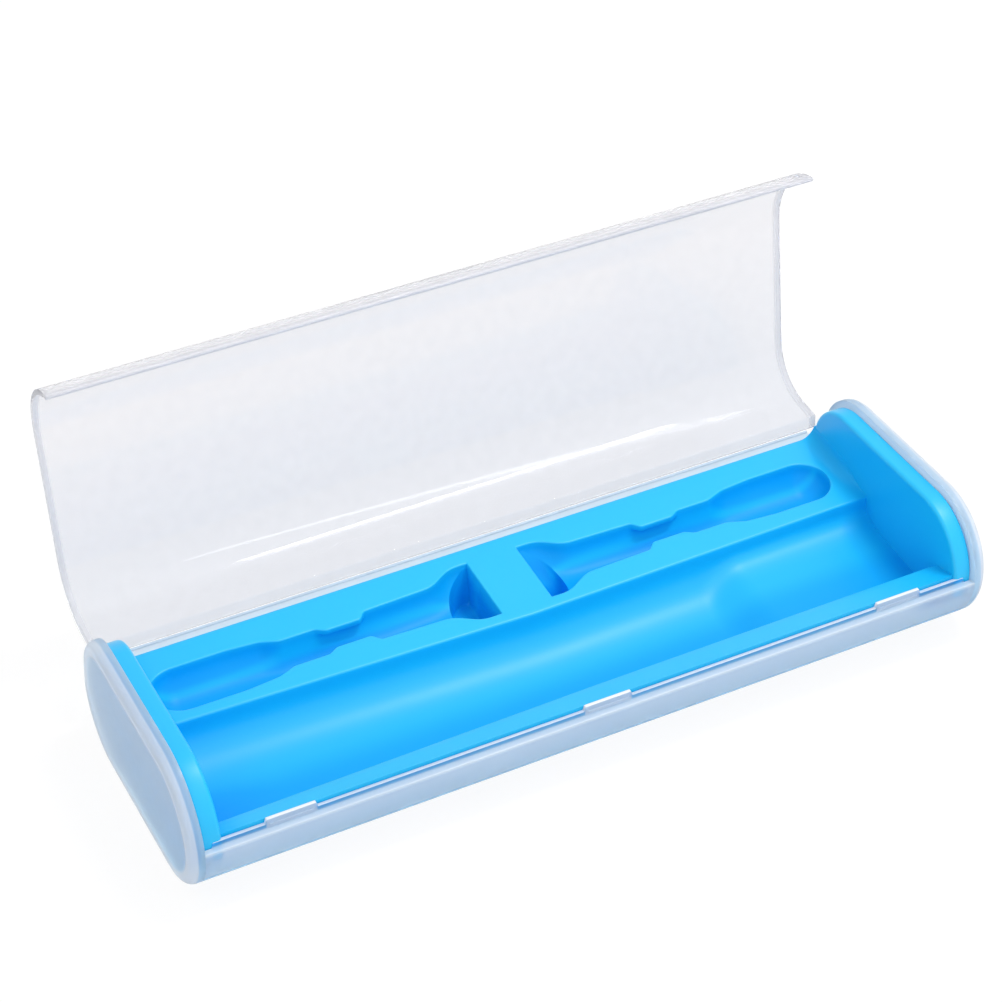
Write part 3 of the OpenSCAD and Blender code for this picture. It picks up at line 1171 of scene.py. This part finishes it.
@dataclass
class InsertTray(Piece):
    """Blue moulded tray: deck, shelf, handle trough, two head pockets and end flanges."""

    slot: Slot = Slot.TRAY
    # end flanges, deck and shelf
    rim_w: float = 4.9
    rim_in_r: float = 1.1
    rim_out_r: float = 0.5
    deck_z: float = 22.4
    deck_fall: float = 5.0
    deck_edge_r: float = 0.8
    skirt: float = 2.5
    shelf_z: float = 20.3
    shelf_rise: float = 11.0
    fillet: float = 4.0
    fillet_behind: tuple[float, float] = (0.5, 14.0)
    # trough, at its wide end first
    trough_front: tuple[float, float, float] = (5.2, 7.2, 7.7)
    trough_w: tuple[float, float, float] = (37.9, 32.4, 33.6)
    trough_deep: tuple[float, float] = (13.2, 9.0)
    trough_power: tuple[float, float] = (2.7, 3.8)
    trough_edges: tuple[float, float] = (0.3, 0.7)
    trough_tip: float = 5.0
    step_x: float = 55.0
    step_run: float = 14.0
    # head pockets
    pocket_x: float = 7.4
    pocket_back: float = 15.9
    pocket_len: float = 90.6
    pocket_depth: tuple[float, float] = (7.2, 7.5)
    left_more: float = 2.3
    flare_w: float = 20.6
    neck_w: float = 11.0
    waist_w: float = 6.5
    collar_w: float = 9.6
    barrel_w: float = 15.0
    barrel_s: float = 70.0
    deepens: tuple[float, float] = (14.0, 34.0)
    least_half: float = 0.05
    flare_window: float = 3.2
    window: float = 1.0
    pocket_r: float = 0.45
    brow: float = 2.0
    brow_soft: float = 1.0
    longest: float = 1.5
    # wells, the left one first
    well_fillet: float = 1.0
    well_draft: tuple[float, float] = (1.2, 8.0)
    draft_limit: tuple[float, float] = (0.4, 0.75)
    well_edge: float = 0.985
    well_depth: float = 12.6
    well_len: float = 9.0
    # marks of painted shade: where they begin and end, and how strong they are
    trough_sinks: tuple[float, float] = (0.3, 2.5)
    pocket_sinks: tuple[float, float] = (0.25, 2.0)
    corner_shade_run: float = 26.0
    flange_run: float = 8.0
    flange_shade: tuple[float, float] = (0.8, 0.3)

    @property
    def plan(self) -> tuple[tuple[float, float], ...]:
        """Outline of a pocket, as straight runs.

        Returns:
            Distances from its flat end, each with the width there.
        """
        return (
            (-9.0, self.flare_w), (5.4, self.flare_w), (12.2, 12.2), (32.0, self.neck_w),
            (34.0, self.waist_w), (43.6, self.waist_w), (46.2, self.collar_w), (56.0, self.collar_w),
            (61.0, 13.4), (self.barrel_s, self.barrel_w), (99.0, self.barrel_w),
        )

    @property
    def rim_x(self) -> float:
        """X of an end flange's inner face."""
        return self.layout.fit_x - self.rim_w

    @property
    def deck_y(self) -> float:
        """Y of the deck's back edge."""
        return self.layout.section.back_face(self.deck_z, self.layout.tray_inset)

    @property
    def pocket_y(self) -> float:
        """Y of the pockets' centre line."""
        return self.deck_y - self.pocket_back

    def three(self, x: Array, values: tuple[float, float, float]) -> Array:
        """Straight lines between values at the wide end, the middle and the slim end."""
        return np.interp(x, [-self.rim_x, 0.0, self.rim_x], values)

    def deck_at(self, y: Array) -> Array:
        """Height of the sloping deck at y."""
        return self.deck_z - (self.deck_y - y) * math.tan(math.radians(self.deck_fall))

    def shelf_at(self, y: Array) -> Array:
        """Height of the front shelf, which rises towards the lip."""
        edge = self.layout.lip_back + self.trough_front[1]
        return self.shelf_z + (edge - y) * math.tan(math.radians(self.shelf_rise))

    def half_width(self, s: Array, notched: bool) -> Array:
        """Half the pocket's width at distances s from its flat end.

        It is the mean of the plan's straight runs over a short window, which is longer at
        the flare than elsewhere, cut off by the half circle of the round end.

        Args:
            s: distances, negative on the bar between the pockets.
            notched: whether the finger notch's waist is taken in.

        Returns:
            Half widths, at least least_half.
        """
        places, widths = np.array([row for row in self.plan if notched or row[1] > self.waist_w]).T
        window = self.window + self.flare_window * fall(s, 16.0, 26.0)
        around = np.linspace(-0.5, 0.5, 15)[None, None, :]
        half = np.interp(s[..., None] + around * window[..., None], places, widths / 2).mean(-1)
        r = self.barrel_w / 2
        past = np.clip(s - self.pocket_len + r, 0.0, r)
        return np.maximum(np.where(past > 0, np.sqrt(r * r - past**2), half), self.least_half)

    def stations(self) -> Array:
        """Places along X, close together at each turn of the pockets' outlines.

        Returns:
            Sorted places, none further apart than longest.
        """
        start, stop, r = self.pocket_x, self.pocket_x + self.pocket_len, self.barrel_w / 2
        well_turns = [10, 16, 23, 30, 37, 44, 50, 56, 62, 67, 72, 76, 80, 83, 86, 88]
        past_well = [0.0, 0.3, 0.8, 1.5, 2.2, 3.0, 3.8, 4.7, 5.6, 6.6, 7.7, 9.0, 10.5]
        right = np.concatenate([
            start - self.pocket_r * np.cos(np.radians(np.linspace(0, 90, 6))),
            start + np.array([0.05, 0.1, 0.25, 0.45, 0.7, 1.0]),
            start + self.well_len * np.sin(np.radians(well_turns)),
            start + self.well_len + np.array(past_well),
            start + np.linspace(30.5, 48.0, 50),
            start + np.linspace(54.5, 72.0, 20),
            stop - r + r * np.sin(np.radians(np.linspace(0, 90, 28))),
            stop + self.pocket_r * np.linspace(0.2, 1.0, 5),
        ])
        more = self.left_more / (self.pocket_len - self.barrel_s)
        left = right + more * np.clip(right - start - self.barrel_s, 0, None)
        rise = self.rim_x - self.fillet * (1 - np.sin(np.radians(np.linspace(0, 85, 12))))
        ends = np.concatenate([[0.0, self.rim_x + 0.3], rise])
        both = np.concatenate([-left, right, ends, -ends, self.step_x + np.linspace(-8, 8, 23)])
        return refine(np.unique(np.round(both, 3)), self.longest)

    def trough(self, x: Array) -> Pair:
        """The trough across: two small rounds at its edges and a superellipse between.

        The bowl is (1 - |u|^p)^(1/p) of the share u across; its depth and its power p pass
        from those of the wide end to those of the slim end over a short run along X.

        Args:
            x: (n, 1) stations.

        Returns:
            Y and Z, each (n, columns), front to back.
        """
        front = self.layout.lip_back + self.three(x, self.trough_front)
        back = front + self.three(x, self.trough_w)
        ahead, behind = self.trough_edges
        u = np.sin(np.radians(np.linspace(-90, 90, 57)))[None, :]
        s = ramp(x, self.step_x - self.step_run / 2, self.step_x + self.step_run / 2)
        power = mixed(self.trough_power, s)
        bowl = (1 - np.abs(u) ** power) ** (1 / power)
        low, high = self.shelf_at(front) - ahead, self.deck_at(back) - behind
        rim = low + (high - low) * (u + 1) / 2
        across = (back - front) / 2 * u
        tilt = across * math.tan(math.radians(self.trough_tip))
        z = rim * (1 - bowl) + (self.shelf_z - mixed(self.trough_deep, s) + tilt) * bowl
        (off, drop), (rear_drop, rear_off) = quarter(ahead, 4), quarter(behind, 4)
        y = [front - off[:-1], (front + back) / 2 + across, back + rear_off[1:]]
        z = [self.shelf_at(front) - drop[:-1], z, self.deck_at(back) - rear_drop[1:]]
        return np.concatenate(y, 1), np.concatenate(z, 1)

    def well(self, x: Array, s: Array, edge: Array, start: Array, wide: Array, deep: Array) -> Pair:
        """The rest of a pocket inwards: the well's wall, its fillet and its flat floor.

        Beyond the well the same columns go on down the quarter ellipse: half width * cos(a)
        out and depth * sin(a) down, from the angle start to 90 degrees.

        Args:
            x: (n, 1) stations.
            s: their distances from the flat end.
            edge: distance from the centre line at which the well, or the rest, begins.
            start: angle on the ellipse there, in radians.
            wide: half width of the ellipse.
            deep: its depth.

        Returns:
            Distance from the centre line and depth, each (n, columns).
        """
        fillet = self.well_fillet
        floor = self.well_depth - self.pocket_r - round_rise(fillet - s, fillet)
        top = deep * np.sin(start)
        f = np.minimum(fillet, edge * 0.5)
        left, right = (np.minimum(run, limit * edge) for run, limit in zip(self.well_draft, self.draft_limit))
        foot = edge - np.where(x > 0, right, left)
        t = np.array([0.04, 0.35, 0.7])[None, :]
        side, sink = quarter(f, 4)[::-1]
        flat = (foot - f) * np.array([[0.6, 0.3, 0.0]])
        off = np.concatenate([edge + (foot - edge) * t, foot - side, flat], 1)
        down = np.concatenate([top + (floor - f - top) * t, floor - sink, floor + 0 * t], 1)
        a = start + (math.pi / 2 - start) * np.linspace(0, 1, off.shape[1] + 1)[None, 1:]
        inside = s < self.well_len - 1e-6
        return np.where(inside, off, wide * np.cos(a)), np.where(inside, down, deep * np.sin(a))

    def pocket(self, x: Array) -> Pair:
        """The pockets across, front to back: rim, rounded side, and the well or the side's foot.

        The side is a quarter ellipse: half width * cos(a) out and depth * sin(a) down. Near
        the flat end it stops at the well, whose plan is half an ellipse. The finger notch's
        brow keeps the side in near the top only. The sinking share is 0 on the bar between
        the pockets and behind the round end. The left pocket's last part is a little longer.

        Args:
            x: (n, 1) stations.

        Returns:
            Y and Z, each (n, columns), front to back.
        """
        s, e, barrel = np.abs(x) - self.pocket_x, self.pocket_r, self.pocket_len - self.barrel_s
        shorter = self.barrel_s + (s - self.barrel_s) * barrel / (barrel + self.left_more)
        s = np.where((x < 0) & (s > self.barrel_s), shorter, s)
        waist, wide = self.half_width(s, True), self.half_width(s, False)
        round_s = self.pocket_len - self.barrel_w / 2
        far = ramp(s, round_s - 0.2, round_s)
        full = mixed(self.pocket_depth, ramp(s, *self.deepens))
        deep = full * (1 - far + far * np.minimum(wide / self.barrel_w * 2, 1.0)) - e
        along = np.clip(s / self.well_len, 0.0, 1.0)
        edge = np.minimum(self.flare_w / 2 * np.sqrt(1 - along**2), self.well_edge * wide)
        spare = np.cos(np.radians(90 - 14 * ramp(s, self.well_len, self.well_len + 3)))
        edge = np.where(s < self.well_len, edge, wide * spare)
        last = np.arccos(np.clip(edge / wide, 0, 1))
        a = last * np.linspace(0.0, 1.0, 19)[None, 1:] ** 1.15
        side_deep = deep * np.sin(a)
        brow = ramp(side_deep + e, self.brow - self.brow_soft / 2, self.brow + self.brow_soft / 2)
        side_off = (waist + (wide - waist) * brow) * np.cos(a)
        well_off, well_deep = self.well(x, s, edge, last, wide, deep)
        rim_off, rim_deep = quarter(e, 4)
        off = np.concatenate([waist + rim_off, side_off, well_off], 1)
        down = np.concatenate([0 * x + rim_deep, e + side_deep, e + well_deep], 1)
        closed = np.minimum(down, round_rise(s + e, e))
        down = closed + (down - closed) * ramp(s, 0.0, 0.1)
        down = down * fall(s, self.pocket_len - 0.02, self.pocket_len + 0.02)
        y = np.concatenate([self.pocket_y - off, (self.pocket_y + off)[:, -2::-1]], 1)
        return y, self.deck_at(y) - np.concatenate([down, down[:, -2::-1]], 1)

    def trough_marks(self, x: Array, y: Array, z: Array) -> Pair:
        """Painted shade in the trough, as the marks "deep" and "dark": most near its front wall and wide end.

        Args:
            x: (n, 1) stations.
            y: Y of the trough's points.
            z: their heights.

        Returns:
            The values of "deep" and of "dark".
        """
        t = (y - y[:, :1]) / (y[:, -1:] - y[:, :1])
        rim = self.shelf_at(y[:, :1]) * (1 - t) + self.deck_at(y[:, -1:]) * t
        low = ramp(rim - z, *self.trough_sinks)
        # painted shade grows towards the front wall and into the corner by the wide end's flange
        corner = fall(x + self.rim_x, 0.0, self.corner_shade_run)
        shade = np.clip(fall(t, 0.42, 0.68) + corner * fall(t, 0.5, 0.85), 0, 1)
        painted_shade = 0.06 + 0.5 * shade + 0.4 * corner * fall(t, 0.4, 0.7)
        return low * (0.35 + 0.4 * shade), low * painted_shade

    def pocket_marks(self, y: Array, z: Array) -> Pair:
        """Painted shade in the pockets, as the marks "deep" and "dark", with less of it in a band behind
        their middle.

        Args:
            y: Y of the pockets' points.
            z: their heights.

        Returns:
            The values of "deep" and of "dark".
        """
        low = ramp(self.deck_at(y) - z, *self.pocket_sinks)
        u = (y - self.pocket_y) / (self.barrel_w / 2)
        return low, low * (0.66 - 0.56 * within(u, 0.44, 0.66, 0.18))

    def top(self) -> Surface:
        """Shelf, trough, deck and pockets as one net over X stations and places across.

        Each band has its own columns: shelf, trough, deck, pocket, deck and back edge. Near
        the flanges the deck rises on a quarter circle. The marks paint shade in the hollows,
        and both grow a little towards the flanges.

        Returns:
            The open surface, facing up, and its marks.
        """
        lay, x = self.layout, self.stations()[:, None]
        y_t, z_t = self.trough(x)
        y_p, z_p = self.pocket(x)
        shelf_y = lay.lip_back + lay.seat_clear
        y_s = shelf_y + (y_t[:, :1] - shelf_y) * np.linspace(0.0, 0.95, 5)
        even = np.linspace(0.0, 1.0, 6)[1:-1]
        y_a = y_t[:, -1:] + (y_p[:, :1] - y_t[:, -1:]) * even
        y_b = y_p[:, -1:] + (self.deck_y - self.deck_edge_r - y_p[:, -1:]) * even
        sag, drop = quarter(self.deck_edge_r, 5)
        y_e = self.deck_y - sag + 0 * x
        z_s, z_e = self.shelf_at(y_s), self.deck_at(y_e) - drop
        y = np.concatenate([y_s[:, :1], y_s, y_t, y_a, y_p, y_b, y_e, y_e[:, -1:]], 1)
        z = np.concatenate([z_s[:, :1] - self.skirt, z_s, z_t, self.deck_at(y_a), z_p,
                            self.deck_at(y_b), z_e, z_e[:, -1:] - self.skirt], 1)
        rise = round_rise(np.abs(x) - self.rim_x + self.fillet, self.fillet)
        begin, full = self.fillet_behind
        z = z + rise * ramp(y, y_t[:, -1:] + begin, y_t[:, -1:] + full)
        y = np.minimum(y, lay.section.back_face(z, lay.tray_inset))
        made = net(np.stack([np.broadcast_to(x, y.shape), y, z], -1)[:, ::-1])
        # painted shade near the flanges, added to that of the hollows
        near = ramp(np.abs(x), self.rim_x - self.flange_run, self.rim_x)
        first = 1 + y_s.shape[1]
        second = first + y_t.shape[1] + y_a.shape[1]
        hollows = zip(self.trough_marks(x, y_t, z_t), self.pocket_marks(y_p, z_p))
        for name, more, (in_trough, in_pocket) in zip(("deep", "painted_shade"), self.flange_shade, hollows):
            values = np.zeros(y.shape)
            values[:, first:first + y_t.shape[1]] = in_trough
            values[:, second:second + y_p.shape[1]] = in_pocket
            made.marks[name] = np.clip(values + near * more, 0, 1)[:, ::-1]
        return made

    def flange(self) -> Surface:
        """One end flange: the tray's outline as a thick plate with a rounded inner rim.

        Returns:
            The closed surface at +X.
        """
        lay = self.layout
        (in_off, in_back), (out_back, out_off) = quarter(self.rim_in_r, 6), quarter(self.rim_out_r, 6)
        inset = np.concatenate([[self.rim_in_r + 0.5], in_off, out_off, [self.rim_out_r + 0.5]])
        place = np.concatenate([[self.rim_x], self.rim_x + in_back, lay.fit_x - out_back, [lay.fit_x]])
        return net(lay.section.rings(inset + lay.tray_inset, place), wrap=True, ends=True)

    def build(self, finish: BluePlastic) -> None:
        """Makes the tray's pieces.

        Args:
            finish: the tray's finish.
        """
        stuff, flange = finish.material(), self.flange()
        self.add("tray_top", self.top(), stuff, "insert_tray")
        self.add("tray_end_right", flange, stuff)
        self.add("tray_end_left", flange.mirrored(), stuff)


# ---------------------------------------------------------------- studio


@dataclass(frozen=True)
class PhotoCamera:
    """The photograph's camera: direction, roll, focal length and where it stands."""

    azimuth: float = -26.063
    elevation: float = 37.567
    roll: float = -1.084
    focal_px: float = 2695.464
    across: float = 10.21
    up: float = -46.639
    distance: float = 709.198

    def place(self) -> None:
        """Makes the camera: back, right and up axes from the three angles."""
        a, e, r = (math.radians(v) for v in (self.azimuth, self.elevation, self.roll))
        back = np.array([math.sin(a) * math.cos(e), -math.cos(a) * math.cos(e), math.sin(e)])
        level = np.array([math.cos(a), math.sin(a), 0.0])
        rise = np.cross(back, level)
        right = math.cos(r) * level + math.sin(r) * rise
        top = -math.sin(r) * level + math.cos(r) * rise
        data = bpy.data.cameras.new("photo_camera")
        data.sensor_width, data.sensor_fit = SENSOR_WIDTH, "HORIZONTAL"
        data.lens = self.focal_px / PHOTO_SIDE * SENSOR_WIDTH
        made = put("photo_camera", data)
        stand(made, right, top, back, (back * self.distance - right * self.across - top * self.up) * MM)
        bpy.context.scene.camera = made


@dataclass(frozen=True)
class Softbox:
    """One rectangular lamp, in metres, aimed at a point, its first side along a direction."""

    name: str
    spot: tuple[float, float, float]
    aim: tuple[float, float, float]
    along: tuple[float, float, float]
    size: tuple[float, float]
    power: float

    def place(self) -> None:
        """Makes the lamp."""
        data = bpy.data.lights.new(self.name, "AREA")
        data.shape, data.energy = "RECTANGLE", self.power
        data.size, data.size_y = self.size
        away = np.array(self.spot) - np.array(self.aim)
        away = away / np.linalg.norm(away)
        other = np.cross(away, self.along)
        other = other / np.linalg.norm(other)
        stand(put(self.name, data), np.cross(other, away), other, away, self.spot)


@dataclass(frozen=True)
class Studio:
    """Pale floor, world light, softboxes and the camera."""

    world_level: float = 0.72
    world_lean: float = 0.5
    floor_half: float = 6.0
    lamps: tuple[Softbox, ...] = (
        Softbox("key", spot=(0.36, -0.09, 1.03), aim=(0.0, 0.0, 0.0), along=(0.0, 1.0, 0.0),
                size=(0.09, 0.3), power=3.2),
        Softbox("strip", spot=(0.43, -0.3, 1.04), aim=(0.43, -0.3, 0.0), along=(0.31, 1.268, 0.0),
                size=(1.3, 0.05), power=1.7),
    )

    def world(self) -> None:
        """World: soft pale light, and plain white for camera, glossy and transmission rays."""
        made = bpy.data.worlds.new("studio")
        made.use_nodes = True
        bpy.context.scene.world = made
        graph = Graph(made.node_tree)
        way = graph.node("ShaderNodeTexCoord", output="Generated")
        back = graph.node("ShaderNodeSeparateXYZ", {}, {"Vector": way}, "Y")
        plain = self.world_level * (1.0 - self.world_lean * back)
        level = plain + (1.0 - plain) * graph.seen()
        light = graph.node("ShaderNodeBackground", {}, {"Color": rgb(252, 252, 255), "Strength": level})
        graph.finish(light, "ShaderNodeOutputWorld")

    def floor(self) -> None:
        """A plain floor at the height of the underside."""
        h = self.floor_half
        mesh = bpy.data.meshes.new("floor")
        mesh.from_pydata([(-h, -h, 0), (h, -h, 0), (h, h, 0), (-h, h, 0)], [], [[0, 1, 2, 3]])
        mesh.materials.append(StudioWhite().material())
        put("floor", mesh)

    def build(self) -> None:
        """Sets up everything around the case."""
        bpy.context.scene.view_settings.view_transform = "Standard"
        self.world()
        self.floor()
        for lamp in self.lamps:
            lamp.place()
        PhotoCamera().place()


def main() -> None:
    """Loads the frame, and builds every piece and the studio."""
    logging.basicConfig(level=logging.INFO, format="%(message)s")
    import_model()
    BaseShell().build(FrostedShell())
    InsertTray().build(BluePlastic())
    Lid().build(ClearLid())
    Studio().build()
    bpy.context.view_layer.update()


if __name__ == "__main__":
    main()
